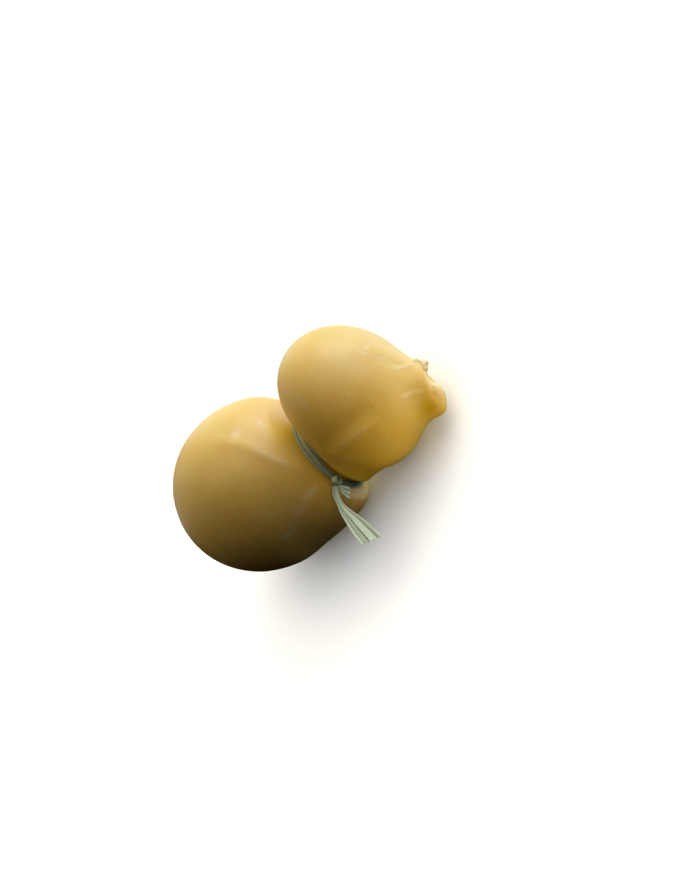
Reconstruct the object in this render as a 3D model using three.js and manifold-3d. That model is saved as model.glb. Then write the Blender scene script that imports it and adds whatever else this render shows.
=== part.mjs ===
// A scamorza lying on its side: a pear-shaped body, a tied neck and a rounder, smaller head that ends in a
// torn spout, with one length of raffia knotted round the neck. Millimetres, +Z up, the length along X.
import * as THREE from 'three';
import { ImprovedNoise } from 'three/addons/math/ImprovedNoise.js';
import { mergeVertices } from 'three/addons/utils/BufferGeometryUtils.js';
import Module from 'manifold-3d';

const wasm = await Module();
wasm.setup();

// Body: round at the back, drawn out to a cone towards the neck. Headings are degrees about Z and above level.
const BODY_RADIUS = 33.7;
const BODY_BACK = 35.9;
const BODY_FRONT = 54.6;
const BODY_TAPER = 1.44;
const SHOULDER_FACING = [-0.3, 0.62];
const BODY_TURN = -15.3;
const BODY_RISE = -24;
const BODY_HEIGHT = 32.35;

// Head: a ball a little flattened along its own axis
const HEAD_RADIUS = 29.5;
const HEAD_FRONT = 24.1;
const HEAD_BACK = 20.9;
const HEAD_AHEAD = 51.1;
const HEAD_HEIGHT = 28.5;
const HEAD_TURN = 1.6;

// Neck: the groove that the raffia has pressed in
const NECK_AHEAD = 30.9;
const NECK_ASIDE = -5.6;
const NECK_HEIGHT = 23.5;
const NECK_TURN = 2.6;
const NECK_RISE = -4.8;
const NECK_RADIUS = 15.6;
const NECK_CORE = 18;
const NECK_CORE_REACH = 9;
const GROOVE_FLARE = 0.42;

// Spout: where the curd was pulled off, with a tongue on its lower side and crumbs on its upper rim
const SPOUT_TURN = -17.8;
const SPOUT_RISE = -33.4;
const SPOUT_RADIUS = 7.8;
const SPOUT_FLARE = 0.22;
const SPOUT_REACH = 28.1;
const TONGUE_REACH = 27.6;
const TONGUE_DROP = 6.4;
const TONGUE_LENGTH = 6.6;
const TONGUE_DEPTH = 5.7;
const TONGUE_WIDTH = 6.6;
const TONGUE_SQUARENESS = 3;
const CRUMB_COUNT = 9;
const CRUMB_RADIUS = 1.2;
const CRUMB_STRETCH = 1.3;
const CRUMB_SQUASH = 0.8;
const CRUMB_UNEVENNESS = 0.6;
const CRUMB_ARC = 62;
const CRUMB_SPREAD = 1.1;

// Blends between the forms, and the unevenness of a hand-made cheese
const SHOULDER_BLEND = 3;
const HEAD_BLEND = 4;
const SPOUT_BLEND = 6.5;
const TONGUE_BLEND = 2.5;
const TEAR_BLEND = 1.5;
const TEAR_DEPTH = 1.3;
const TEAR_GRAIN = 4.2;
const GROOVE_BLEND = 1;
const LUMP_HEIGHT = 0.5;
const LUMP_SIZE = 24;
const FLOOR_BLEND = 0.4;

// Folds that gather at the spout: azimuth round it, how far from and to they run, in degrees, and depth
const FOLD_WIDTH = 2.2;
const FOLDS = [
  { azimuth: -62, from: 20, to: 58, depth: 0.5 },
  { azimuth: -110, from: 12, to: 33, depth: 0.5 },
  { azimuth: 40, from: 16, to: 50, depth: 0.8 },
  { azimuth: 118, from: 18, to: 46, depth: 0.6 },
];

// Raffia: a folded strip round the neck, gathered at its knot
const GAP = 0.3;
const BAND_WIDTH = 3.3;
const BAND_KNOT_WIDTH = 2.2;
const BAND_GATHER = [0.1, 0.7];
const BAND_THICKNESS = 0.9;
const KNOT_ANGLE = 166.5;
const KNOT_RADIUS = 2.1;
const KNOT_STANDOFF = 3.3;

// Its two loose ends: where each bends and stops, from the knot, which way it is wide, its pleats, and how far
// the cut is notched and slanted, as shares of its length
const STRIP_THICKNESS = 0.6;
const LONG_END = {
  bend: new THREE.Vector3(-4.7, -8, 0.3),
  tip: new THREE.Vector3(-2.5, -24.6, -10.3),
  side: new THREE.Vector3(0.82, 0.04, -0.57),
  startWidth: 2.2,
  endWidth: 7.8,
  flareFrom: 0.3,
  pleats: 5,
  pleatDepth: 0.6,
  notch: 0.04,
  slant: 0.08,
  steps: 14,
};
const SHORT_END = {
  bend: new THREE.Vector3(0.2, -2.6, -1),
  tip: new THREE.Vector3(-0.4, -5, -3.4),
  side: new THREE.Vector3(-0.75, -0.65, -0.12),
  startWidth: 2,
  endWidth: 4,
  flareFrom: 0.1,
  pleats: 2,
  pleatDepth: 0.4,
  notch: 0.2,
  slant: 0,
  steps: 5,
};
const POINTS_PER_PLEAT = 4;

// How finely each form is faceted, and how the skin is found
const SIDES = 72;
const BACK_RINGS = 16;
const NECK_RINGS = 26;
const FRONT_RINGS = 26;
const RINGS = BACK_RINGS + NECK_RINGS + FRONT_RINGS;
const NECK_CLOSENESS = 1.6;
const BAND_SIDES = 72;
const BAND_SECTION_SIDES = 10;
const KNOT_SIDES = 16;
const KNOT_RINGS = 10;
const SKIN_STRIDE = 1.5;
const SKIN_HALVINGS = 24;
const WELD = 1e-4;

const noise = new ImprovedNoise();
const { degToRad, lerp, clamp, smoothstep } = THREE.MathUtils;

function heading(turn, rise) {
  const level = Math.cos(degToRad(rise));
  return new THREE.Vector3(
    level * Math.cos(degToRad(turn)),
    level * Math.sin(degToRad(turn)),
    Math.sin(degToRad(rise)),
  );
}

// Two directions square to an axis: the first level, the second as near to straight up as it can be
function crossways(axis) {
  const level = new THREE.Vector3(0, 0, 1).cross(axis).normalize();
  return { level, rising: axis.clone().cross(level) };
}

const bodyCentre = new THREE.Vector3(0, 0, BODY_HEIGHT);
const bodyAxis = heading(BODY_TURN, BODY_RISE);
const headCentre = new THREE.Vector3(HEAD_AHEAD, 0, HEAD_HEIGHT);
const headAxis = heading(HEAD_TURN, 0);
const neckCentre = new THREE.Vector3(NECK_AHEAD, NECK_ASIDE, NECK_HEIGHT);
const neckAxis = heading(NECK_TURN, NECK_RISE);
const neckCross = crossways(neckAxis);
const spoutAxis = heading(SPOUT_TURN, SPOUT_RISE);

// The tongue hangs on this side of the spout, and the crumbs are opposite
const TONGUE_SIDE = new THREE.Vector3(-0.49, -0.81, -0.33);
const tongueSide = TONGUE_SIDE.clone().addScaledVector(spoutAxis, -TONGUE_SIDE.dot(spoutAxis)).normalize();
const spoutSide = spoutAxis.clone().cross(tongueSide);

function smoothMax(a, b, blend) {
  const share = clamp(0.5 + 0.5 * (a - b) / blend, 0, 1);
  return lerp(b, a, share) + blend * share * (1 - share);
}

function smoothMin(a, b, blend) {
  return -smoothMax(-a, -b, blend);
}

// How far a point is along an axis through a centre, and out from it
function alongAndOut(point, centre, axis) {
  const offset = point.clone().sub(centre);
  const along = offset.dot(axis);
  return { offset, along, out: Math.sqrt(Math.max(offset.lengthSq() - along * along, 0)) };
}

// Each form below is negative inside, zero on its surface and positive outside, in about millimetres.
function bodyForm(point) {
  const { offset, along, out } = alongAndOut(point, bodyCentre, bodyAxis);
  const facing = along / (offset.length() + 1e-9);
  const power = lerp(2, BODY_TAPER, smoothstep(facing, ...SHOULDER_FACING));
  const reach = along > 0 ? BODY_FRONT : BODY_BACK;
  const sum = Math.pow(Math.abs(along) / reach, power) + Math.pow(out / BODY_RADIUS, power);
  return (Math.pow(sum, 1 / power) - 1) * BODY_RADIUS;
}

function headForm(point) {
  const { along, out } = alongAndOut(point, headCentre, headAxis);
  const reach = along > 0 ? HEAD_FRONT : HEAD_BACK;
  return (Math.hypot(along / reach, out / HEAD_RADIUS) - 1) * reach;
}

function foldDepth(point) {
  const offset = point.clone().sub(headCentre);
  const length = offset.length();
  const polar = THREE.MathUtils.radToDeg(Math.acos(clamp(offset.dot(spoutAxis) / length, -1, 1)));
  const azimuth = Math.atan2(offset.dot(spoutSide), -offset.dot(tongueSide));
  let depth = 0;
  for (const fold of FOLDS) {
    const turn = azimuth - degToRad(fold.azimuth);
    const across = length * Math.sin(degToRad(polar)) * Math.atan2(Math.sin(turn), Math.cos(turn));
    const middle = (fold.from + fold.to) / 2;
    const run = (polar - middle) / (fold.to - fold.from) * 2;
    depth += fold.depth * Math.exp(-((across / FOLD_WIDTH) ** 2) - run ** 4);
  }
  return depth;
}

function spoutForm(point) {
  const { offset, along, out } = alongAndOut(point, headCentre, spoutAxis);
  const wall = out - SPOUT_RADIUS - SPOUT_FLARE * (SPOUT_REACH - along);
  const grain = noise.noise(point.x / TEAR_GRAIN, point.y / TEAR_GRAIN, point.z / TEAR_GRAIN);
  const tear = along - SPOUT_REACH + TEAR_DEPTH * grain;
  const spout = smoothMax(smoothMax(wall, tear, TEAR_BLEND), -along, TEAR_BLEND);
  const shares = [
    (along - TONGUE_REACH) / TONGUE_LENGTH,
    (offset.dot(tongueSide) - TONGUE_DROP) / TONGUE_DEPTH,
    offset.dot(spoutSide) / TONGUE_WIDTH,
  ];
  const sum = shares.reduce((total, share) => total + Math.abs(share) ** TONGUE_SQUARENESS, 0);
  const tongue = sum ** (1 / TONGUE_SQUARENESS);
  return smoothMin(spout, (tongue - 1) * TONGUE_DEPTH, TONGUE_BLEND);
}

function cheeseForm(point) {
  const { along, out } = alongAndOut(point, neckCentre, neckAxis);
  const shoulders = smoothMax(bodyForm(point), along, SHOULDER_BLEND);
  const core = Math.max(out - NECK_CORE, Math.abs(along) - NECK_CORE_REACH);
  const head = smoothMin(headForm(point) + foldDepth(point), spoutForm(point), SPOUT_BLEND);
  const lobes = smoothMin(smoothMin(shoulders, core, SHOULDER_BLEND), head, HEAD_BLEND);
  const groove = out - NECK_RADIUS - GROOVE_FLARE * along * along;
  const lump = noise.noise(point.x / LUMP_SIZE, point.y / LUMP_SIZE, point.z / LUMP_SIZE);
  return smoothMax(lobes + LUMP_HEIGHT * lump, groove, GROOVE_BLEND);
}

// Distance from a point inside the cheese to its surface in a given direction
function reachSkin(start, direction) {
  const at = (distance) => start.clone().addScaledVector(direction, distance);
  let near = 0;
  while (cheeseForm(at(near + SKIN_STRIDE)) < 0) near += SKIN_STRIDE;
  let far = near + SKIN_STRIDE;
  for (let halving = 0; halving < SKIN_HALVINGS; halving += 1) {
    const middle = (near + far) / 2;
    if (cheeseForm(at(middle)) < 0) near = middle;
    else far = middle;
  }
  return at(near);
}

// A round lobe settles on the floor in a flat spot with a soft edge.
function settle(point) {
  const { z } = point;
  if (z <= -FLOOR_BLEND) point.z = 0;
  else if (z < FLOOR_BLEND) point.z = (z + FLOOR_BLEND) ** 2 / (4 * FLOOR_BLEND);
  return point;
}

function solidOf(geometry) {
  geometry.deleteAttribute('normal');
  geometry.deleteAttribute('uv');
  const merged = mergeVertices(geometry, WELD);
  return new wasm.Manifold(new wasm.Mesh({
    numProp: 3,
    vertProperties: new Float32Array(merged.attributes.position.array),
    triVerts: new Uint32Array(merged.index.array),
  }));
}

function geometryOf(solid) {
  const { vertProperties, triVerts } = solid.getMesh();
  const geometry = new THREE.BufferGeometry();
  geometry.setAttribute('position', new THREE.BufferAttribute(vertProperties, 3));
  geometry.setIndex(new THREE.BufferAttribute(triVerts, 1));
  geometry.computeVertexNormals();
  return geometry;
}

// Moves each vertex of a geometry to where a function of its texture coordinates puts it
function reshape(geometry, place) {
  const { position, uv } = geometry.attributes;
  for (let i = 0; i < position.count; i += 1) {
    const point = place(uv.getX(i), uv.getY(i));
    position.setXYZ(i, point.x, point.y, point.z);
  }
  return geometry;
}

// The curve from a first to a last vector that passes through a middle one half-way
function throughMiddle(first, middle, last) {
  const pull = middle.clone().multiplyScalar(2).addScaledVector(first, -0.5).addScaledVector(last, -0.5);
  return new THREE.QuadraticBezierCurve3(first, pull, last);
}

const spine = throughMiddle(bodyCentre, neckCentre, headCentre);
const spineAxis = throughMiddle(bodyAxis, neckAxis, headAxis);

// The direction at a turn round an axis and at a share of the way from the axis to square with it
function fanOut(axis, turn, share) {
  const { level, rising } = crossways(axis);
  const radial = level.multiplyScalar(Math.cos(turn)).addScaledVector(rising, Math.sin(turn));
  const polar = share * Math.PI / 2;
  return radial.multiplyScalar(Math.sin(polar)).addScaledVector(axis, Math.cos(polar));
}

// Rings of the skin: a fan of rays about the body centre, slices across the line of centres, then a fan
// about the head centre. The slices lie closest together at the neck.
function skinPoint(u, v) {
  const turn = -2 * Math.PI * (u % 1);
  const ring = Math.round((1 - v) * RINGS);
  if (ring <= BACK_RINGS) {
    const out = fanOut(bodyAxis, turn, ring / BACK_RINGS);
    out.addScaledVector(bodyAxis, -2 * out.dot(bodyAxis));
    return settle(reachSkin(bodyCentre, out));
  }
  if (ring >= BACK_RINGS + NECK_RINGS) {
    return settle(reachSkin(headCentre, fanOut(headAxis, turn, (RINGS - ring) / FRONT_RINGS)));
  }
  const run = 2 * (ring - BACK_RINGS) / NECK_RINGS - 1;
  const share = 0.5 + 0.5 * Math.sign(run) * Math.abs(run) ** NECK_CLOSENESS;
  const axis = spineAxis.getPoint(share).normalize();
  return settle(reachSkin(spine.getPoint(share), fanOut(axis, turn, 1)));
}

// Three uneven numbers for the crumb of a given place in the row
function unevenness(place) {
  const rows = [0.2, 5.2, 9.2];
  return rows.map((row) => noise.noise(0.73 * place + 0.4, row, 0.6));
}

// Crumbs left on the upper rim of the tear: small angular lumps, uneven in size and sunk to uneven depths
function crumbs() {
  const solids = [];
  for (let i = 0; i < CRUMB_COUNT; i += 1) {
    const turn = degToRad(CRUMB_ARC * (2 * i / (CRUMB_COUNT - 1) - 1));
    const [size, rise, out] = unevenness(i);
    const radius = SPOUT_RADIUS - CRUMB_RADIUS / 2 + CRUMB_SPREAD * out;
    const lump = new THREE.IcosahedronGeometry(CRUMB_RADIUS * (1 + CRUMB_UNEVENNESS * size), 0);
    lump.scale(CRUMB_STRETCH, CRUMB_SQUASH, 1).rotateX(i).rotateZ(2 * i);
    const centre = headCentre.clone()
      .addScaledVector(spoutAxis, SPOUT_REACH + CRUMB_SPREAD * rise - CRUMB_RADIUS / 2)
      .addScaledVector(tongueSide, -radius * Math.cos(turn))
      .addScaledVector(spoutSide, radius * Math.sin(turn));
    lump.translate(centre.x, centre.y, centre.z);
    solids.push(solidOf(lump));
  }
  return solids;
}

function cheese() {
  const skin = solidOf(reshape(new THREE.SphereGeometry(1, SIDES, RINGS), skinPoint));
  return crumbs().reduce((whole, crumb) => whole.add(crumb), skin);
}

// A point in the groove: angle round the neck, radius from its axis and distance along it
function groovePoint(angle, radius, along) {
  return neckCentre.clone()
    .addScaledVector(neckCross.level, radius * Math.cos(angle))
    .addScaledVector(neckCross.rising, radius * Math.sin(angle))
    .addScaledVector(neckAxis, along);
}

// The band round the neck, cupped to the groove and narrower where it runs into the knot
function band() {
  const ring = new THREE.TorusGeometry(1, 0.1, BAND_SECTION_SIDES, BAND_SIDES);
  return solidOf(reshape(ring, (u, v) => {
    const angle = 2 * Math.PI * (u % 1);
    const section = 2 * Math.PI * (v % 1);
    const turn = angle - degToRad(KNOT_ANGLE);
    const fromKnot = Math.abs(Math.atan2(Math.sin(turn), Math.cos(turn)));
    const width = lerp(BAND_KNOT_WIDTH, BAND_WIDTH, smoothstep(fromKnot, ...BAND_GATHER));
    const along = width / 2 * Math.sin(section);
    const floor = NECK_RADIUS + GROOVE_FLARE * along * along + GAP;
    return groovePoint(angle, floor + BAND_THICKNESS / 2 * (1 + Math.cos(section)), along);
  }));
}

const knotCentre = groovePoint(degToRad(KNOT_ANGLE), NECK_RADIUS + KNOT_STANDOFF, 0);

function knot() {
  const lump = new THREE.SphereGeometry(KNOT_RADIUS, KNOT_SIDES, KNOT_RINGS);
  lump.translate(knotCentre.x, knotCentre.y, knotCentre.z);
  return solidOf(lump);
}

// A loose end of the strip: it leaves the knot flat, then fans out in pleats to a notched cut
function looseEnd(end) {
  const { bend, tip, side, startWidth, endWidth, flareFrom, pleats, pleatDepth, notch, slant, steps } = end;
  const [turning, stop] = [bend, tip].map((offset) => knotCentre.clone().add(offset));
  const route = new THREE.QuadraticBezierCurve3(knotCentre, turning, stop);
  const strip = new THREE.BoxGeometry(1, 1, 1, steps, POINTS_PER_PLEAT * pleats, 1);
  const { position } = strip.attributes;
  for (let i = 0; i < position.count; i += 1) {
    const across = position.getY(i);
    const wave = Math.cos(2 * Math.PI * pleats * across);
    const cut = 1 - notch * (1 + wave) / 2 - slant * (0.5 - across);
    const run = clamp((position.getX(i) + 0.5) * cut, 0, 1);
    const forward = route.getTangent(run);
    const wide = side.clone().addScaledVector(forward, -side.dot(forward)).normalize();
    const thick = forward.clone().cross(wide);
    const flare = smoothstep(run, flareFrom, 1);
    const point = route.getPoint(run)
      .addScaledVector(wide, across * lerp(startWidth, endWidth, flare))
      .addScaledVector(thick, pleatDepth * flare * wave + STRIP_THICKNESS * position.getZ(i));
    position.setXYZ(i, point.x, point.y, point.z);
  }
  return solidOf(strip);
}

function raffiaTie() {
  return band().add(knot()).add(looseEnd(LONG_END)).add(looseEnd(SHORT_END));
}

function mesh(name, solid, look) {
  const piece = new THREE.Mesh(geometryOf(solid), new THREE.MeshStandardMaterial(look));
  piece.name = name;
  return piece;
}

const scamorza = new THREE.Group();
scamorza.add(mesh('cheese', cheese(), { color: 0xe3bd72, roughness: 0.38, metalness: 0 }));
scamorza.add(mesh('raffia_tie', raffiaTie(), { color: 0xbcc8a4, roughness: 0.7, metalness: 0 }));

// The origin is on the floor below the middle of the whole
const middle = new THREE.Box3().setFromObject(scamorza).getCenter(new THREE.Vector3());
scamorza.position.set(-middle.x, -middle.y, 0);

export default scamorza;
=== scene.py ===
"""A scamorza lying on its side: a round body, a tied neck and a smaller head that ends in a torn spout,
with a strip of raffia knotted round the neck. Lengths are millimetres from the point on the floor below
the body's centre, until a mesh is made."""
import math

import bpy
import numpy as np
from mathutils import Matrix


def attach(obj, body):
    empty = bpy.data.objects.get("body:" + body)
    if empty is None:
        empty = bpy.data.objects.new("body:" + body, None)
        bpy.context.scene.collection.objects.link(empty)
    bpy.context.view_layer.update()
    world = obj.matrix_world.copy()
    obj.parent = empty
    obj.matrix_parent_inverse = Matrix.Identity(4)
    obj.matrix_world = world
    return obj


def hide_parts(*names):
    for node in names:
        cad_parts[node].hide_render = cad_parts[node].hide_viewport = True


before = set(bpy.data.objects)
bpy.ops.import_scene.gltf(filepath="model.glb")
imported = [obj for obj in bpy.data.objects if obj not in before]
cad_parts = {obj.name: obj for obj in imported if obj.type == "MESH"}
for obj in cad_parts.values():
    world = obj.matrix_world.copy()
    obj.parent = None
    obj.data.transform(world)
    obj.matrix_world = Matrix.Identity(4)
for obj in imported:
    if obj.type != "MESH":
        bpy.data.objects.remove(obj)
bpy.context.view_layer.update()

# Body: round at the back, drawn out towards the neck. Turns are degrees about Z, rises degrees above level.
BODY_RADIUS = 33.7
BODY_BACK = 35.9
BODY_FRONT = 54.6
BALL_POWER = 2.0
BODY_TAPER = 1.44
SHOULDER_FACING = (-0.3, 0.62)
BODY_TURN = -15.3
BODY_RISE = -24.0
BODY_HEIGHT = 32.35

# Head: a ball a little flattened along its own axis
HEAD_RADIUS = 29.5
HEAD_FRONT = 24.1
HEAD_BACK = 20.9
HEAD_AHEAD = 51.1
HEAD_HEIGHT = 28.5
HEAD_TURN = 1.6

# Neck: the groove that the raffia has pressed in
NECK_AHEAD = 30.9
NECK_ASIDE = -5.6
NECK_HEIGHT = 23.5
NECK_TURN = 2.6
NECK_RISE = -4.8
NECK_RADIUS = 15.6
NECK_CORE = 18.0
NECK_CORE_REACH = 9.0
GROOVE_FLARE = 0.42
GROOVE_FLOOR = 1.9
GROOVE_STEEPNESS = 0.6
# Painted shade in the groove, a deeper yellow: how far it reaches along the neck and out from the groove's
# floor
GROOVE_SHADE_WIDTH = (1.5, 4.5)
GROOVE_SHADE_HEIGHT = (0.5, 6.0)

# Spout: where the curd was pulled off, with a tongue on its lower side and crumbs on its upper rim
SPOUT_TURN = -17.8
SPOUT_RISE = -33.4
SPOUT_RADIUS = 7.8
SPOUT_FLARE = 0.22
SPOUT_REACH = 28.1
TONGUE_SIDE = (-0.49, -0.81, -0.33)
TONGUE_REACH = 27.6
TONGUE_DROP = 6.4
TONGUE_LENGTH = 6.6
TONGUE_DEPTH = 5.7
TONGUE_WIDTH = 6.6
TONGUE_SQUARENESS = 3.0

# Crumbs of curd on the tear's upper rim: degrees round the spout, degrees from its axis, and radius
CRUMBS_SEEN = (
    (-30, 20.2, 0.8),
    (-24, 18.6, 1.0),
    (-21, 16.8, 0.8),
    (-16, 15.0, 1.1),
    (-3, 14.4, 1.25),
    (-4, 12.4, 0.95),
    (-17, 11.3, 0.95),
    (-13, 14.2, 1.7),
    (-10, 12.4, 1.4),
)
CRUMBS_BEHIND = 18
CRUMB_AZIMUTHS = (12, 100)
CRUMB_STRAY = 8
CRUMB_ANGLES = (13.0, 20.0)
CRUMB_RADII = (0.35, 1.15)
CRUMB_STRETCH = (0.75, 1.3)
CRUMB_LIFT = 0.4
CRUMB_ROUGHNESS = 0.22
CRUMB_GRAIN = 0.9
CRUMB_ROWS = 16
CRUMB_SIDES = 24
CRUMB_PALENESS = (-0.6, 0.5)

# Blends between the forms, and the unevenness of a hand-made cheese. A blend reaches past its own size.
BLEND_REACH = 1.5
SHOULDER_BLEND = 10.0
CORE_BLEND = 3.0
HEAD_BLEND = 4.0
SPOUT_BLEND = 6.5
TONGUE_BLEND = 6.0
TEAR_BLEND = 1.5
TEAR_DEPTH = 1.3
TEAR_GRAIN = 4.2
SHRED_DEPTH = 0.3
SHRED_GRAIN = 1.1
SHRED_SHIFT = 0.5
GROOVE_BLEND = 1.0
GROOVE_LIP_BLEND = 11.0
GROOVE_LIP = (1.0, 13.0)
LUMPS = ((24.0, 0.4), (9.0, 0.1))
FLOOR_BLEND = 0.4

# Folds that gather at the spout: azimuth round it, how far from and to they run, in degrees, and depth
FOLD_WIDTH = 2.2
FOLDS = ((-62, 20, 58, 0.25), (-110, 12, 33, 0.3), (40, 16, 50, 0.8), (118, 18, 46, 0.6))

# Soft ridges and hollows on the skin: points that each passes through, width, and height or depth
HEAD_RIDGE = ((42.4, -24.1, 39.0), (47.5, -26.5, 40.7), (52.7, -27.4, 40.7))
HEAD_RIDGE += ((56.9, -27.1, 39.5), (60.7, -26.0, 37.2), (63.8, -24.3, 34.6))
BODY_RIDGE = ((11.9, 1.0, 63.9), (16.2, -2.1, 61.6), (20.2, -6.1, 58.7))
BODY_RIDGE += ((24.2, -12.1, 53.2), (27.5, -17.7, 45.6), (29.2, -19.8, 38.4))
RIDGE_DOWN = np.array((-0.15, -0.735, -0.662))
HOLLOW_ABOVE = 4.5
SWELL_BELOW = 6.0
HEAD_HOLLOW = HEAD_RIDGE - HOLLOW_ABOVE * RIDGE_DOWN
HEAD_SWELL = HEAD_RIDGE + SWELL_BELOW * RIDGE_DOWN
RIDGES = (
    (HEAD_RIDGE, 1.9, 0.5),
    (HEAD_HOLLOW, 3.2, -0.6),
    (HEAD_SWELL, 6.0, 0.5),
    (BODY_RIDGE, 2.8, 0.5),
)

# Creases by the spout, with painted highlights as pale lines along their crests: points that each passes
# through
RIM_CREASE = ((77.7, -2.6, 19.8), (76.5, -5.4, 24.1), (75.5, -6.8, 26.8))
RIM_CREASE += ((74.8, -7.5, 29.2), (74.3, -8.5, 31.8))
RIM_BRANCH = ((75.1, -7.1, 28.5), (74.8, -5.9, 30.9), (74.3, -4.8, 34.8), (73.5, -4.7, 38.2))
FAR_CREASE = ((75.9, 0.9, 25.0), (75.5, 1.6, 29.1), (75.1, 2.3, 32.5), (74.3, 3.6, 36.0))
TONGUE_CREASE = ((75.1, -14.2, 18.8), (74.0, -14.6, 20.0), (72.8, -15.2, 22.4))
TONGUE_CREASE += ((71.6, -16.5, 25.2), (70.1, -18.6, 28.2))
TONGUE_EDGE = ((76.8, -12.2, 19.0), (76.8, -12.7, 15.6), (77.5, -12.7, 13.1))

# Each crease's path, width, height and paleness, which is the strength of its painted highlight
CREASES = (
    (RIM_CREASE, 0.8, 0.2, 0.7),
    (RIM_BRANCH, 0.5, 0.06, 0.6),
    (FAR_CREASE, 0.5, 0.05, 0.45),
    (TONGUE_CREASE, 0.8, 0.2, 0.75),
    (TONGUE_EDGE, 0.6, 0.15, 0.7),
)

# Pale rubs, scratches and streaks on the skin, and painted highlights: points that each passes through,
# width and paleness
RUBS_AND_HIGHLIGHTS = (
    # Pale streaks on the body's lower flank
    (((21.1, -28.0, 37.6), (27.9, -25.0, 34.4)), 1.3, 0.9),
    (((15.7, -29.9, 38.3), (20.6, -28.9, 35.7)), 1.2, 0.9),
    (((5.2, -33.0, 37.0), (11.4, -32.0, 34.3)), 1.4, 0.9),
    # Scratches and rubs on the head and by the spout
    (((50.2, -9.7, 56.0), (51.5, -15.3, 53.4)), 0.5, 0.5),
    (((72.6, -1.0, 42.1), (72.6, -2.8, 42.0), (73.2, -3.4, 40.2)), 0.7, 1.0),
    (((73.1, -1.4, 40.6), (73.9, 1.0, 38.0)), 0.7, 1.0),
    # Painted highlights: soft pale spots on the body's lit shoulder, and pale lines along the crests of its
    # ridge and of the head's ridge
    (((25.9, 0.6, 53.2), (27.1, 1.8, 51.4)), 2.2, 0.9),
    (((18.5, -0.5, 60.3), (21.3, -2.6, 58.0)), 3.0, 0.7),
    (((22.5, -9.5, 55.7), (27.5, -17.7, 45.6)), 1.0, 0.7),
    (HEAD_RIDGE[1:5], 0.8, 0.6),
    # Painted light: the tongue's lower edge made paler, where light shines through it
    (((76.6, -11.4, 16.9), (77.4, -12.6, 13.5), (77.1, -14.7, 12.2), (76.0, -16.5, 11.5)), 2.4, 0.5),
)

# Painted shade: places where the skin is a deeper yellow, as in shade and in light bounced inside a hollow,
# by the tongue and beside the groove: centre, radius and depth
HOLLOW_SHADE_SPOTS = (
    ((71.4, -18.7, 15.5), 3.2, 1.0),
    ((30.5, -3.5, 40.5), 7.5, 0.9),
)

# How finely the skin is meshed and found
SIDES = 264
BACK_RINGS = 60
NECK_RINGS = 100
FRONT_RINGS = 180
NECK_CLOSENESS = 1.6
TWIST_FROM = 0.4
SPOUT_CLOSENESS = 1.8
SKIN_STRIDE = 1.5
FAR_REACH = 42.0
CRAG_STRIDE = 0.5
SKIN_HALVINGS = 18

# Raffia: one strip, folded lengthwise. A fold line has its share of the width and its height.
STRIP_THICKNESS = 0.22
STRIP_COLUMNS = 49
STRIP_CRUMPLE = 0.07
STRIP_CRUMPLE_SIZE = 1.3
STRIP_CRUMPLE_SHIFT = 7.5
STRIP_SHARP_ANGLE = 60
FOLD_SOFTNESS = 0.02
FOLD_SAMPLES = 5
# Width of the painted shade along each fold's valley
VALLEY_SHADE_WIDTH = 0.26
BAND_WIDTH = 3.7
BAND_KNOT_WIDTH = 1.8
BAND_GATHER = (0.1, 0.7)
BAND_CLEARANCE = 0.12
BAND_KNOT_RISE = 0.5
BAND_KNOT_SHIFT = -0.8
BAND_ROWS = 240
BAND_FOLDS = ((0, 0.15), (0.1, 0.5), (0.18, 0.0), (0.28, 0.5), (0.54, 0.55), (0.62, 0.0))
BAND_FOLDS += ((0.72, 0.35), (0.82, 0.05), (0.92, 0.3), (1, 0.05))
# How much painted shade darkens the band, which lies under the head
BAND_SHADE = 0.75

# Its knot: a short coil beside the band, closed in at one end and open at the other
KNOT_ANGLE = 166.5
KNOT_STANDOFF = 3.3
KNOT_OFFSET = (-0.26, -0.1, 0.91)
KNOT_AXIS = (0.844, -0.464, -0.253)
KNOT_RADIUS = 1.8
KNOT_CORE_RADIUS = 1.4
KNOT_TURNS = 1.35
KNOT_START = 200.0
KNOT_WIDTH = 2.8
KNOT_CLOSING = 0.45
KNOT_CLOSED_SHARE = 0.45
KNOT_ROWS = 120
# How much painted shade darkens the knot, and the loose ends beside it
KNOT_SHADE = 0.4
KNOT_FOLDS = ((0, 0), (0.2, 0.08), (0.35, -0.05), (0.6, 0.07), (0.8, -0.04), (1, 0.02))

# Its loose ends: the way of each from the knot, which way it is wide, and its folds, to the notched cut
END_ROWS = 110
END_STEP = 0.01
END_FLARE_POWER = 1.8
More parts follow.
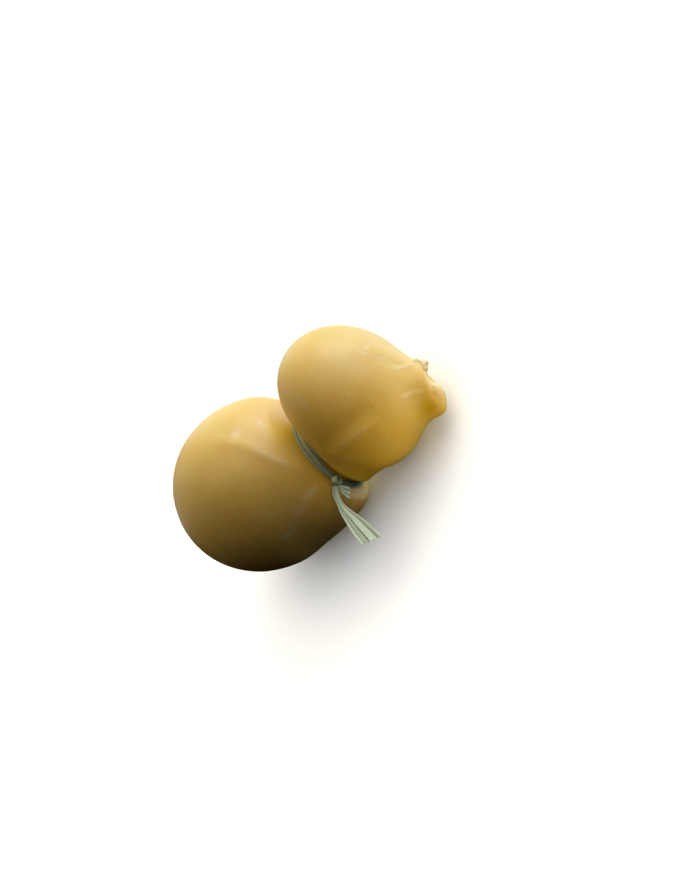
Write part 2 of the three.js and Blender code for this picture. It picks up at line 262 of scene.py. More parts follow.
# The share of each loose end's run over which the knot's painted shade fades
END_SHADE_SHARE = 0.35
CUT_TEETH = 0.6
CUT_RAGS = 0.4
RAGS_A_NOTCH = 4
LONG_END = {
    "way": ((-0.5, 0.2, 0.6), (-2.4, -3.2, 0.6), (-3.4, -8.3, -0.9))
    + ((-3.1, -15.5, -4.9), (-2.5, -23.6, -9.6)),
    "side": (0.82, 0.04, -0.57),
    "widths": (2.2, 7.7),
    "flare_from": 0.36,
    "folds": ((0, 0.5), (0.12, 0.2), (0.16, -0.15), (0.34, 0.3), (0.385, -0.15))
    + ((0.43, 0.85), (0.8, -0.2), (0.95, 0.4), (1, 0.2)),
    "start_height": 0.45,
    "notch": 0.035,
    "notches": 5,
}
SHORT_END = {
    "way": ((-0.2, -0.5, -0.1), (-1.0, -2.0, -0.8), (-0.5, -3.9, -2.2), (-0.05, -5.35, -3.95)),
    "side": (0.62, 0.77, 0.16),
    "widths": (1.3, 4.6),
    "flare_from": 0.3,
    "folds": ((0, -0.3), (0.15, 0.4), (0.33, -0.4), (0.5, 0.45), (0.67, -0.4), (0.85, 0.4), (1, -0.2)),
    "start_height": 0.6,
    "notch": 0.14,
    "notches": 3,
}

# The part's origin, from the point below the body's centre, and the millimetres in a metre
MIDDLE = np.array((22.0113, -6.6556, 0.0))
METRE = 1000
SEED = 11

# The camera looks down on the cheese and is turned on its side
CAMERA_RIGHT = (0.608, -0.2761, -0.7444)
CAMERA_UP = (0.6493, 0.7125, 0.266)
CAMERA_BACK = (0.4569, -0.6451, 0.6125)
CAMERA_PLACE = np.array((188.29, -214.96, 220.61))
LENS = 36.0

# Broad soft lamps: where each is seen from (right, up and back in the view), its width in degrees, its
# strength and its colour. The last three light only the floor, the raffia and the crumbs.
LAMPS = {
    "overhead": ((0.0, 0.97, 0.1), 45, 1.15, (0.81, 0.88, 1.0)),
    "high": ((0.0, 0.85, 0.5), 80, 0.62, (1.0, 0.94, 0.88)),
    "left": ((-0.8, 0.55, -0.1), 90, 0.6, (1.0, 0.85, 0.51)),
    "left_high": ((-0.55, 0.8, 0.25), 70, 0.62, (1.0, 0.92, 0.6)),
    "left_back": ((-0.8, 0.2, -0.55), 80, 0.58, (1.0, 0.87, 0.74)),
    "right": ((0.62, 0.72, -0.2), 90, 1.38, (0.86, 0.91, 1.0)),
    "behind": ((0.0, 0.75, -0.65), 90, 1.25, (0.86, 1.0, 1.0)),
    "front": ((-0.1, 0.4, 0.9), 90, 0.28, (1.0, 0.82, 0.5)),
}
FLOOR_WASH = ((-0.7444, 0.266, 0.6125), 120, 2.8, (0.93, 0.95, 1.0))
RAFFIA_LIGHT = ((0.1, 0.75, 0.65), 60, 0.8, (0.95, 1.0, 1.0))
CRUMB_FILL = ((0.0, -0.3, 0.95), 120, 2.2, (1.0, 0.95, 0.86))

# Mottle: flecks across a cloud, and for each its detail and the range of the noise that is spread out
FLECKS_A_CLOUD = 9.0
CLOUD_NOISE = (3.0, 0.3, 0.7)
FLECK_NOISE = (4.0, 0.35, 0.7)

# Specks on the skin: cells to a metre, how few cells have one, and its soft edge as shares of a cell
SPECK_CELLS = 220.0
SPECK_RARENESS = 0.5
SPECK_EDGE = (0.05, 0.09)

# The floor's width in metres, and the pale backdrop beyond it, which shows but gives no light
FLOOR_WIDTH = 12.0
BACKDROP = (0.9, 0.9, 0.89, 1)

# Light thrown back at the head's lower side, the spout and the shoulder by the neck: place, aim, cone in
# degrees, radius, watts and colour
BOUNCES = {
    "bounce_wide": ((70, -92, 18), (58, -26, 23), 38, 30, 0.055, (1.0, 0.73, 0.08)),
    "bounce_left": ((45, -95, 35), (49, -26, 32), 30, 25, 0.05, (1.0, 0.68, 0.0)),
    "bounce_right": ((90, -80, 25), (62, -24, 20), 34, 30, 0.063, (1.0, 0.87, 0.34)),
    "bounce_low": ((95, -60, 4), (69, -16, 12), 30, 30, 0.27, (1.0, 0.84, 0.34)),
    "bounce_tip": ((79, -24, -49), (75, -18, 10), 20, 10, 0.1, (1.0, 0.88, 0.5)),
    "bounce_neck": ((74, -61, 95.6), (29, -0.3, 46.3), 7.5, 3, 0.095, (0.85, 1.0, 1.0)),
}

LATTICE_CELLS = 24
LATTICE = np.random.default_rng(SEED).uniform(-1, 1, [LATTICE_CELLS] * 3)
TINY = 1e-9


def unit(vectors):
    return vectors / np.linalg.norm(vectors, axis=-1, keepdims=True)


def heading(turn, rise):
    turn, rise = math.radians(turn), math.radians(rise)
    return np.array((math.cos(rise) * math.cos(turn), math.cos(rise) * math.sin(turn), math.sin(rise)))


def crossways(axis):
    """Two directions square to an axis: the first level, the second as near to straight up as it can be."""
    level = unit(np.cross((0, 0, 1), axis))
    return level, np.cross(axis, level)


BODY_CENTRE = np.array((0, 0, BODY_HEIGHT))
BODY_AXIS = heading(BODY_TURN, BODY_RISE)
HEAD_CENTRE = np.array((HEAD_AHEAD, 0, HEAD_HEIGHT))
HEAD_AXIS = heading(HEAD_TURN, 0)
NECK_CENTRE = np.array((NECK_AHEAD, NECK_ASIDE, NECK_HEIGHT))
NECK_AXIS = heading(NECK_TURN, NECK_RISE)
NECK_LEVEL, NECK_RISING = crossways(NECK_AXIS)
SPOUT_AXIS = heading(SPOUT_TURN, SPOUT_RISE)
TONGUE_DOWN = unit(np.array(TONGUE_SIDE) - np.dot(TONGUE_SIDE, SPOUT_AXIS) * SPOUT_AXIS)
SPOUT_SIDE = np.cross(SPOUT_AXIS, TONGUE_DOWN)


def ease(value, start=0.0, stop=1.0):
    share = np.clip((value - start) / (stop - start), 0, 1)
    return share * share * (3 - 2 * share)


def ease_gently(value, start, stop):
    """Like ease, but without a line in the shading at either end."""
    share = np.clip((value - start) / (stop - start), 0, 1)
    return share ** 3 * (10 - 15 * share + 6 * share * share)


def smooth_max(a, b, blend):
    """The larger of two values, rounded where they meet, without a line where the rounding starts."""
    reach = BLEND_REACH * blend
    return np.maximum(a, b) + reach / 6 * np.clip(1 - np.abs(a - b) / reach, 0, 1) ** 3


def smooth_min(a, b, blend):
    return -smooth_max(-a, -b, blend)


def grain(points, size, shift=0.0):
    """Smooth unevenness from -1 to 1, with lumps of about the given size."""
    place = points / size + shift
    cell = np.floor(place).astype(int)
    share = ease(place - cell)
    total = np.zeros(len(points))
    for corner in np.ndindex(2, 2, 2):
        i, j, k = ((cell + corner) % LATTICE_CELLS).T
        total += np.where(corner, share, 1 - share).prod(-1) * LATTICE[i, j, k]
    return total


def along_and_out(points, centre, axis):
    """How far points are from a centre, along an axis and out from it."""
    offset = points - centre
    along = offset @ axis
    out = np.sqrt(np.maximum((offset * offset).sum(-1) - along * along, 0))
    return offset, along, out


# Each form below is negative inside, zero on its surface and positive outside, in about millimetres.
def body_form(points):
    offset, along, out = along_and_out(points, BODY_CENTRE, BODY_AXIS)
    facing = along / (np.linalg.norm(offset, axis=-1) + TINY)
    power = BALL_POWER + (BODY_TAPER - BALL_POWER) * ease_gently(facing, *SHOULDER_FACING)
    reach = np.where(along > 0, BODY_FRONT, BODY_BACK)
    total = (np.abs(along) / reach) ** power + (out / BODY_RADIUS) ** power
    return (total ** (1 / power) - 1) * BODY_RADIUS


def head_form(points):
    _, along, out = along_and_out(points, HEAD_CENTRE, HEAD_AXIS)
    reach = np.where(along > 0, HEAD_FRONT, HEAD_BACK)
    return (np.hypot(along / reach, out / HEAD_RADIUS) - 1) * reach


def fold_depth(points):
    offset, along, _ = along_and_out(points, HEAD_CENTRE, SPOUT_AXIS)
    length = np.linalg.norm(offset, axis=-1) + TINY
    polar = np.degrees(np.arccos(np.clip(along / length, -1, 1)))
    azimuth = np.arctan2(offset @ SPOUT_SIDE, -(offset @ TONGUE_DOWN))
    depth = np.zeros(len(points))
    for direction, start, stop, deepest in FOLDS:
        turn = azimuth - math.radians(direction)
        across = length * np.sin(np.radians(polar)) * np.arctan2(np.sin(turn), np.cos(turn))
        run = (polar - (start + stop) / 2) / (stop - start) * 2
        depth += deepest * np.exp(-((across / FOLD_WIDTH) ** 2) - run ** 4)
    return depth


def spout_form(points):
    offset, along, out = along_and_out(points, HEAD_CENTRE, SPOUT_AXIS)
    wall = out - SPOUT_RADIUS - SPOUT_FLARE * (SPOUT_REACH - along)
    shreds = TEAR_DEPTH * grain(points, TEAR_GRAIN)
    shreds += SHRED_DEPTH * grain(points, SHRED_GRAIN, SHRED_SHIFT)
    tear = along - SPOUT_REACH + shreds
    spout = smooth_max(smooth_max(wall, tear, TEAR_BLEND), -along, TEAR_BLEND)
    drop = offset @ TONGUE_DOWN - TONGUE_DROP
    shares = [(along - TONGUE_REACH) / TONGUE_LENGTH]
    shares += [drop / TONGUE_DEPTH, offset @ SPOUT_SIDE / TONGUE_WIDTH]
    tongue = sum(np.abs(share) ** TONGUE_SQUARENESS for share in shares) ** (1 / TONGUE_SQUARENESS)
    return smooth_min(spout, (tongue - 1) * TONGUE_DEPTH, TONGUE_BLEND)


def cheese_form(points):
    _, along, out = along_and_out(points, NECK_CENTRE, NECK_AXIS)
    shoulders = smooth_max(body_form(points), along, SHOULDER_BLEND)
    core = np.maximum(out - NECK_CORE, np.abs(along) - NECK_CORE_REACH)
    head = smooth_min(head_form(points) + fold_depth(points), spout_form(points), SPOUT_BLEND)
    lobes = smooth_min(smooth_min(shoulders, core, CORE_BLEND), head, HEAD_BLEND)
    past_floor = np.maximum(np.abs(along) - GROOVE_FLOOR, 0)
    groove = out - NECK_RADIUS - GROOVE_FLARE * along * along - GROOVE_STEEPNESS * past_floor ** 3
    blend = GROOVE_BLEND + (GROOVE_LIP_BLEND - GROOVE_BLEND) * ease(out - NECK_RADIUS, *GROOVE_LIP)
    for size, height in LUMPS:
        lobes = lobes + height * grain(points, size)
    return smooth_max(lobes, groove, blend)


def halve_to_skin(starts, directions, inner, outer):
    """Closes in on the skin between a distance inside it and one outside it, along each ray."""
    for _ in range(SKIN_HALVINGS):
        middle = (inner + outer) / 2
        inside = cheese_form(starts + directions * middle[:, None]) < 0
        inner = np.where(inside, middle, inner)
        outer = np.where(inside, outer, middle)
    return starts + directions * inner[:, None]


def first_skin(starts, directions):
    """Where rays from inside first leave the cheese."""
    near = np.zeros(len(starts))
    going = np.arange(len(starts))
    while len(going):
        ahead = starts[going] + directions[going] * (near[going] + SKIN_STRIDE)[:, None]
        going = going[cheese_form(ahead) < 0]
        near[going] += SKIN_STRIDE
    return halve_to_skin(starts, directions, near, near + SKIN_STRIDE)


def last_skin(start, directions):
    """Where rays from a point inside leave the cheese for good, so that shreds stand proud."""
    far = np.full(len(directions), FAR_REACH)
    going = np.arange(len(directions))
    while len(going):
        behind = start + directions[going] * (far[going] - CRAG_STRIDE)[:, None]
        going = going[cheese_form(behind) >= 0]
        far[going] -= CRAG_STRIDE
    starts = np.broadcast_to(start, directions.shape)
    return halve_to_skin(starts, directions, far - CRAG_STRIDE, far)


def crumb_places():
    """Centre and radius of each crumb: those that show from the front, and more round the far rim."""
    rng = np.random.default_rng(SEED)
    rows = list(CRUMBS_SEEN)
    for azimuth in np.linspace(*CRUMB_AZIMUTHS, CRUMBS_BEHIND):
        azimuth += rng.uniform(-CRUMB_STRAY, CRUMB_STRAY)
        rows.append((azimuth, rng.uniform(*CRUMB_ANGLES), rng.uniform(*CRUMB_RADII)))
    azimuth, angle, radius = np.array(rows).T
    azimuth, angle = np.radians(azimuth), np.radians(angle)
    away = np.outer(np.sin(azimuth), SPOUT_SIDE) - np.outer(np.cos(azimuth), TONGUE_DOWN)
    rays = away * np.sin(angle)[:, None] + SPOUT_AXIS * np.cos(angle)[:, None]
    return list(zip(last_skin(HEAD_CENTRE, rays) + rays * (CRUMB_LIFT * radius)[:, None], radius))


CRUMBS = crumb_places()


def through_middle(first, middle, last, share):
    """The curve from a first to a last vector that passes through a middle one half-way."""
    pull = 2 * middle - 0.5 * first - 0.5 * last
    share = share[:, None]
    return (1 - share) ** 2 * first + 2 * share * (1 - share) * pull + share ** 2 * last


def fan_out(axis, turn, polar):
    """Directions at turns round an axis and at angles from it."""
    level, rising = crossways(axis)
    radial = level * np.cos(turn)[..., None] + rising * np.sin(turn)[..., None]
    return radial * np.sin(polar)[..., None] + axis * np.cos(polar)[..., None]


def gathered_disc(radius, turn):
    """Moves the middle of a fan about the head's axis to the spout: polar angle and turn of each ray."""
    level, rising = crossways(HEAD_AXIS)
    target = math.acos(SPOUT_AXIS @ HEAD_AXIS) / (math.pi / 2)
    target *= np.exp(1j * math.atan2(SPOUT_AXIS @ rising, SPOUT_AXIS @ level))
    place = radius * np.exp(1j * turn)
    moved = (place + target) / (1 + np.conj(target) * place)
    return np.abs(moved) * math.pi / 2, np.angle(moved)


def skin_rings():
    """Rings of points over the cheese, from the middle of its back to the middle of its tear."""
    turn = np.linspace(0, 2 * math.pi, SIDES, endpoint=False)
    _, spout_turn = gathered_disc(1.0, turn)
    twist = np.angle(np.exp(1j * (spout_turn - turn)))

    polar = np.repeat(np.linspace(0, math.pi / 2, BACK_RINGS, endpoint=False), SIDES)
    rays = fan_out(BODY_AXIS, np.tile(turn, BACK_RINGS), polar)
    rays -= 2 * np.outer(rays @ BODY_AXIS, BODY_AXIS)
    back = first_skin(np.broadcast_to(BODY_CENTRE, rays.shape), rays)

    run = np.linspace(-1, 1, NECK_RINGS, endpoint=False)
    share = np.repeat(0.5 + 0.5 * np.sign(run) * np.abs(run) ** NECK_CLOSENESS, SIDES)
    axis = unit(through_middle(BODY_AXIS, NECK_AXIS, HEAD_AXIS, share))
    centre = through_middle(BODY_CENTRE, NECK_CENTRE, HEAD_CENTRE, share)
    turns = np.tile(turn, NECK_RINGS) + np.tile(twist, NECK_RINGS) * ease(share, TWIST_FROM, 1)
    neck = first_skin(centre, fan_out(axis, turns, np.full(len(share), math.pi / 2)))

    radius = np.repeat(np.linspace(1, 0, FRONT_RINGS) ** SPOUT_CLOSENESS, SIDES)
    polar, turns = gathered_disc(radius, np.tile(turn, FRONT_RINGS))
    front = last_skin(HEAD_CENTRE, fan_out(HEAD_AXIS, turns, polar))
    return np.concatenate([back, neck, front]).reshape(-1, SIDES, 3)


def ring_normals(rings):
    """Outward directions over rings of points that close on themselves sideways."""
    ahead = np.gradient(rings, axis=0)
    aside = np.roll(rings, -1, axis=1) - np.roll(rings, 1, axis=1)
    normals = np.cross(aside, ahead)
    normals[0] = -BODY_AXIS
    normals[-1] = normals[-2].mean(axis=0)
    return unit(normals)


def nearest_on_path(points, path):
    """How far points are from a path, and the share of the path's run where they are nearest to it."""
    path = np.array(path)
    spans = np.linalg.norm(np.diff(path, axis=0), axis=1)
    starts = np.concatenate([[0], np.cumsum(spans)])
    nearest = np.full(len(points), FAR_REACH)
    run = np.zeros(len(points))
    for first, last, span, start in zip(path, path[1:], spans, starts):
        step = (last - first) / span
        along = np.clip((points - first) @ step, 0, span)
        gap = np.linalg.norm(points - first - along[:, None] * step, axis=1)
        run = np.where(gap < nearest, (start + along) / starts[-1], run)
        nearest = np.minimum(gap, nearest)
    return nearest, run


def path_closeness(points, path, width):
    """One on a path, falling to nothing at its ends and away from it."""
    gap, run = nearest_on_path(points, path)
    return np.exp(-((gap / width) ** 2)) * np.sqrt(np.clip(4 * run * (1 - run), 0, 1))


def settle(rings):
    """Flattens the undersides where the soft cheese lies, with a soft edge."""
    height = rings[..., 2]
    eased = (height + FLOOR_BLEND) ** 2 / (4 * FLOOR_BLEND)
    rings[..., 2] = np.where(height <= -FLOOR_BLEND, 0, np.where(height < FLOOR_BLEND, eased, height))


def new_piece(name, points, faces, attributes, material, node):
    """A smooth mesh object from points in millimetres, standing for a solid of the part."""
    mesh = bpy.data.meshes.new(name)
    mesh.from_pydata(((points - MIDDLE) / METRE).tolist(), [], faces)
    mesh.shade_smooth()
    for label, values in attributes.items():
        layer = mesh.attributes.new(label, "FLOAT", "POINT")
        layer.data.foreach_set("value", np.asarray(values, np.float32))
    mesh.materials.append(material)
    piece = bpy.data.objects.new(name, mesh)
    bpy.context.scene.collection.objects.link(piece)
    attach(piece, "root")
    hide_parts(node)
    return piece


def closed_faces(rows, columns):
    """Faces over rows of points that close on themselves sideways, and to one more point at each end."""
    faces = grid_faces(rows, columns)
    first = rows * columns
    last_row = first - columns
    for side in range(columns):
        following = (side + 1) % columns
        faces.append((first, following, side))
        faces.append((last_row + side, last_row + following, first + 1))
    return faces


def grid_faces(rows, columns):
    """Quads over rows of points that close on themselves sideways."""
    row, column = np.meshgrid(np.arange(rows - 1), np.arange(columns), indexing="ij")
    following = (column + 1) % columns
    corners = [row * columns + column, row * columns + following]
    corners += [(row + 1) * columns + following, (row + 1) * columns + column]
    return np.stack(corners, -1).reshape(-1, 4).tolist()


def skin_marks(points):
    """Where the skin is torn, rubbed or painted with highlights or shade, each from 0 to 1."""
    gap = np.min([np.linalg.norm(points - centre, axis=1) - radius for centre, radius in CRUMBS], axis=0)
    torn = ease(-gap, *CRUMB_PALENESS)
    # Pale rubs and scratches, and painted highlights
    rubs_and_highlights = np.zeros(len(points))
    for path, width, paleness in RUBS_AND_HIGHLIGHTS:
        rubs_and_highlights = np.maximum(rubs_and_highlights, paleness * path_closeness(points, path, width))
    # Painted highlights along the creases
    crease_light_and_shade = np.zeros(len(points))
    for path, width, _, paleness in CREASES:
        crease_light_and_shade = np.maximum(crease_light_and_shade, paleness * path_closeness(points, path, width))
    # Painted shade: a deeper yellow in the groove, beside it and by the tongue
    _, neck_along, neck_out = along_and_out(points, NECK_CENTRE, NECK_AXIS)
    painted_hollow_shade = 1 - ease(np.abs(neck_along), *GROOVE_SHADE_WIDTH)
    painted_hollow_shade *= 1 - ease(neck_out - NECK_RADIUS, *GROOVE_SHADE_HEIGHT)
    for centre, radius, depth in HOLLOW_SHADE_SPOTS:
        gap = np.linalg.norm(points - centre, axis=1)
        painted_hollow_shade = np.maximum(painted_hollow_shade, depth * np.exp(-((gap / radius) ** 2)))
    return {"torn": torn, "rubs_and_highlights": rubs_and_highlights, "crease_light_and_shade": crease_light_and_shade, "painted_hollow_shade": painted_hollow_shade}


def cheese(material):
    rings = skin_rings()
    normals = ring_normals(rings)
    points = rings.reshape(-1, 3)
    lift = np.zeros(len(points))
    for path, width, height in RIDGES + tuple(crease[:3] for crease in CREASES):
        lift += height * path_closeness(points, path, width)
    rings = rings + normals * lift.reshape(rings.shape[:2])[..., None]
    settle(rings)
    points = rings.reshape(-1, 3)
    marks = skin_marks(points)

    # The first and last rings close to one point each
    for label, values in marks.items():
        marks[label] = np.concatenate([values[SIDES:-SIDES], values[:1], values[-1:]])
    points = np.vstack([points[SIDES:-SIDES], rings[0].mean(axis=0), rings[-1].mean(axis=0)])
    faces = closed_faces(len(rings) - 2, SIDES)
    return new_piece("cheese_skin", points, faces, marks, material, "cheese")


def crumbs(material):
    """Small lumps of torn curd, partly sunk in the skin. They let light through, so they cast no shadow."""
    rng = np.random.default_rng(SEED)
    polar = np.repeat(np.linspace(0, math.pi, CRUMB_ROWS + 2)[1:-1], CRUMB_SIDES)
    turn = np.tile(np.linspace(0, 2 * math.pi, CRUMB_SIDES, endpoint=False), CRUMB_ROWS)
    ball = np.vstack([fan_out(SPOUT_AXIS, turn, polar), SPOUT_AXIS, -SPOUT_AXIS])
    ball_faces = closed_faces(CRUMB_ROWS, CRUMB_SIDES)
    points, faces = [], []
    for centre, radius in CRUMBS:
        lump = ball * radius * rng.uniform(*CRUMB_STRETCH, 3)
        lump = lump * (1 + CRUMB_ROUGHNESS * grain(centre + lump, CRUMB_GRAIN))[:, None]
        faces += [tuple(corner + len(points) * len(ball) for corner in face) for face in ball_faces]
        points.append(centre + lump)
    piece = new_piece("curd_crumbs", np.vstack(points), faces, {}, material, "cheese")
    piece.visible_shadow = False
    return piece


def folded(folds, across):
    """Height of a folded strip over shares of its width."""
    places, heights = np.array(folds, float).T
    shifts = np.linspace(-FOLD_SOFTNESS, FOLD_SOFTNESS, FOLD_SAMPLES)
    return np.mean([np.interp(across + shift, places, heights) for shift in shifts], axis=0)


def valley_shade_lines(folds, across, width):
    """Painted shade: one along each valley of a folded strip of the given width, falling to nothing beside
    it.
    """
    lines = np.zeros(np.broadcast_shapes(across.shape, width.shape))
    for (_, before), (place, height), (_, after) in zip(folds, folds[1:], folds[2:]):
        if height < min(before, after):
            lines = np.maximum(lines, np.exp(-(((across - place) * width / VALLEY_SHADE_WIDTH) ** 2)))
    return lines


def strip_piece(name, grid, folds, painted_tie_shade, looped, material):
    """A thin strip of raffia from rows of points across it, closed to a ring or capped at both ends."""
    if looped:
        grid = np.concatenate([grid, grid[:1]])
    crumple = grain(grid.reshape(-1, 3), STRIP_CRUMPLE_SIZE, STRIP_CRUMPLE_SHIFT).reshape(grid.shape[:2])
    across = np.gradient(grid, axis=1)
    along = np.gradient(grid, axis=0)
    if looped:
        along[0] = along[-1] = along[0] + along[-1]
    normals = unit(np.cross(across, along))
    grid = grid + normals * (STRIP_CRUMPLE * crumple)[..., None]
    half = normals * STRIP_THICKNESS / 2
    rows, columns = grid.shape[:2]
    loops = np.concatenate([grid + half, (grid - half)[:, ::-1]], axis=1)
    aside = np.cumsum(np.linalg.norm(np.diff(grid, axis=1, prepend=grid[:, :1]), axis=2), axis=1)
    ahead = np.cumsum(np.linalg.norm(np.diff(grid, axis=0, prepend=grid[:1]), axis=2), axis=0)
    # Painted shade along the fold valleys, and over the parts that lie in shade
    crease_light_and_shade = valley_shade_lines(folds, np.linspace(0, 1, columns)[None, :], aside[:, -1:])
    tie_shade_amount = np.broadcast_to(painted_tie_shade, (rows, columns))
    attributes = {"aside": aside, "ahead": ahead, "crease_light_and_shade": crease_light_and_shade, "painted_tie_shade": tie_shade_amount}
    attributes = {label: np.concatenate([v, v[:, ::-1]], axis=1) for label, v in attributes.items()}
    faces = np.array(grid_faces(rows, 2 * columns))
    if looped:
        last_row = (rows - 1) * 2 * columns
        faces = np.where(faces >= last_row, faces - last_row, faces)
        loops = loops[:-1]
        attributes = {label: values[:-1] for label, values in attributes.items()}
    faces = faces.tolist()
    if not looped:
        top = np.arange(columns - 1)
        low = 2 * columns - 1 - top
        cap = np.stack([top, low, low - 1, top + 1], axis=1)
        faces += cap.tolist()
        faces += (cap[:, ::-1] + (rows - 1) * 2 * columns).tolist()
    values = {label: rows_of.ravel() for label, rows_of in attributes.items()}
    piece = new_piece(name, loops.reshape(-1, 3), faces, values, material, "raffia_tie")
    piece.data.set_sharp_from_angle(angle=math.radians(STRIP_SHARP_ANGLE))
    return piece


def groove_point(angle, radius, along):
    """A point in the groove: angle round the neck, radius from its axis and distance along it."""
    radial = NECK_LEVEL * np.cos(angle)[..., None] + NECK_RISING * np.sin(angle)[..., None]
    return NECK_CENTRE + radial * radius[..., None] + NECK_AXIS * along[..., None]


def knot_centre():
    angle = np.array(math.radians(KNOT_ANGLE))
    return groove_point(angle, np.array(NECK_RADIUS + KNOT_STANDOFF), np.array(0.0))


def band(material):
    angle = np.linspace(0, 2 * math.pi, BAND_ROWS, endpoint=False)[:, None]
    across = np.linspace(0, 1, STRIP_COLUMNS)[None, :]
    turn = angle - math.radians(KNOT_ANGLE)
    from_knot = np.abs(np.arctan2(np.sin(turn), np.cos(turn)))
    spread = ease(from_knot, *BAND_GATHER)
    width = BAND_KNOT_WIDTH + (BAND_WIDTH - BAND_KNOT_WIDTH) * spread
    along = width * (across - 0.5) + BAND_KNOT_SHIFT * (1 - spread)
    floor_radius = NECK_RADIUS + GROOVE_FLARE * along ** 2 + BAND_CLEARANCE + STRIP_THICKNESS / 2
    radius = floor_radius + folded(BAND_FOLDS, across) + BAND_KNOT_RISE * (1 - spread)
    grid = groove_point(angle + 0 * across, radius, along)
    return strip_piece("raffia_band", grid, BAND_FOLDS, BAND_SHADE, True, material)


def knot(material):
    turn = np.linspace(0, 1, KNOT_ROWS)[:, None]
    across = np.linspace(0, 1, STRIP_COLUMNS)[None, :]
    axis = unit(np.array(KNOT_AXIS))
    first, second = crossways(axis)
    angle = math.radians(KNOT_START) + 2 * math.pi * KNOT_TURNS * turn
    radius = KNOT_CORE_RADIUS + (KNOT_RADIUS - KNOT_CORE_RADIUS) * turn + folded(KNOT_FOLDS, across)
    radius = radius * (1 - KNOT_CLOSING * ease(across, KNOT_CLOSED_SHARE, 0) ** 2)
    centre = knot_centre() + KNOT_OFFSET
    radial = first * np.cos(angle)[..., None] + second * np.sin(angle)[..., None]
    grid = centre + radial * radius[..., None] + axis * (KNOT_WIDTH * (across - 0.5))[..., None]
    return strip_piece("raffia_knot", grid, KNOT_FOLDS, KNOT_SHADE, False, material)


def smooth_way(places, run):
    """A smooth curve through given places, at shares of its run."""
    places = np.array(places, float)
    spans = np.linalg.norm(np.diff(places, axis=0), axis=1)
    knots = np.concatenate([[0], np.cumsum(spans)]) / spans.sum()
    slopes = np.gradient(places, knots, axis=0)
    index = np.clip(np.searchsorted(knots, run, side="right") - 1, 0, len(places) - 2)
    gap = (knots[index + 1] - knots[index])[..., None]
    t = (run[..., None] - knots[index][..., None]) / gap
    first = places[index] * (1 + 2 * t) * (1 - t) ** 2 + slopes[index] * gap * t * (1 - t) ** 2
    last = places[index + 1] * t ** 2 * (3 - 2 * t) + slopes[index + 1] * gap * t ** 2 * (t - 1)
    return first + last


def loose_end(name, end, material):
    """A loose end of the strip: narrow at the knot, then fanning out along its folds to a ragged cut."""
    rng = np.random.default_rng(SEED)
    across = np.linspace(0, 1, STRIP_COLUMNS)[None, :]
    teeth = np.abs((across * end["notches"]) % 1 - 0.5) * 2
    rags = RAGS_A_NOTCH * end["notches"]
    ragged = np.interp(across, np.linspace(0, 1, rags), rng.uniform(0, 1, rags))
    cut = 1 - end["notch"] * (CUT_TEETH * teeth + CUT_RAGS * ragged)
    run = np.linspace(0, 1, END_ROWS)[:, None] * cut
    side = unit(np.array(end["side"]))
    centre = smooth_way(end["way"], run)
    ahead = smooth_way(end["way"], np.minimum(run + END_STEP, 1))
    forward = unit(ahead - smooth_way(end["way"], run - END_STEP))
    out = unit(np.cross(forward, side))
    spread = np.clip((run - end["flare_from"]) / (1 - end["flare_from"]), 0, 1)
    flare = 1 - (1 - spread) ** END_FLARE_POWER
    start_width, end_width = end["widths"]
    width = start_width + (end_width - start_width) * flare
    height = folded(end["folds"], across) * (end["start_height"] + (1 - end["start_height"]) * flare)
    grid = knot_centre() + centre + side * (width * (across - 0.5))[..., None] + out * height[..., None]
    # Painted shade, fading away from the knot
    painted_tie_shade = KNOT_SHADE * ease(run, END_SHADE_SHARE, 0)
    return strip_piece(name, grid, end["folds"], painted_tie_shade, False, material)


def add_node(tree, kind, inputs=(), **settings):
    made = tree.nodes.new(kind)
    for label, value in settings.items():
        setattr(made, label, value)
    for label, value in dict(inputs).items():
        socket = made.inputs[label]
        if isinstance(value, bpy.types.NodeSocket):
            tree.links.new(value, socket)
        else:
            socket.default_value = value
    return made


def mix_colours(tree, factor, first, second):
    """Mixes two colours. The mix node's colour sockets are known by their numbers."""
    made = tree.nodes.new("ShaderNodeMix")
    made.data_type = "RGBA"
    for index, value in ((0, factor), (6, first), (7, second)):
        if isinstance(value, bpy.types.NodeSocket):
            tree.links.new(value, made.inputs[index])
        else:
            made.inputs[index].default_value = value
    return made.outputs[2]


def spread_values(tree, value, low, high, start=0.0, stop=1.0):
    """Carries a value from one range to another, held at the ends."""
    inputs = {"Value": value, "From Min": start, "From Max": stop, "To Min": low, "To Max": high}
    return add_node(tree, "ShaderNodeMapRange", inputs).outputs["Result"]


def mottle_group():
    """Uneven clouds and finer flecks over a surface, each from 0 to 1, at a size given in lumps a metre."""
    group = bpy.data.node_groups.new("mottle", "ShaderNodeTree")
    group.interface.new_socket("Coordinates", in_out="INPUT", socket_type="NodeSocketVector")
    group.interface.new_socket("Lumps", in_out="INPUT", socket_type="NodeSocketFloat")
    group.interface.new_socket("Clouds", in_out="OUTPUT", socket_type="NodeSocketFloat")
    group.interface.new_socket("Flecks", in_out="OUTPUT", socket_type="NodeSocketFloat")
    way_in = group.nodes.new("NodeGroupInput")
    way_out = group.nodes.new("NodeGroupOutput")
    place = way_in.outputs["Coordinates"]
    lumps = way_in.outputs["Lumps"]
    finer = weigh(group, lumps, FLECKS_A_CLOUD)
    for label, size, settings in (("Clouds", lumps, CLOUD_NOISE), ("Flecks", finer, FLECK_NOISE)):
        detail, start, stop = settings
        noise = add_node(group, "ShaderNodeTexNoise", {"Vector": place, "Scale": size, "Detail": detail})
        value = spread_values(group, noise.outputs["Fac"], 0, 1, start, stop)
        group.links.new(value, way_out.inputs[label])
    return group


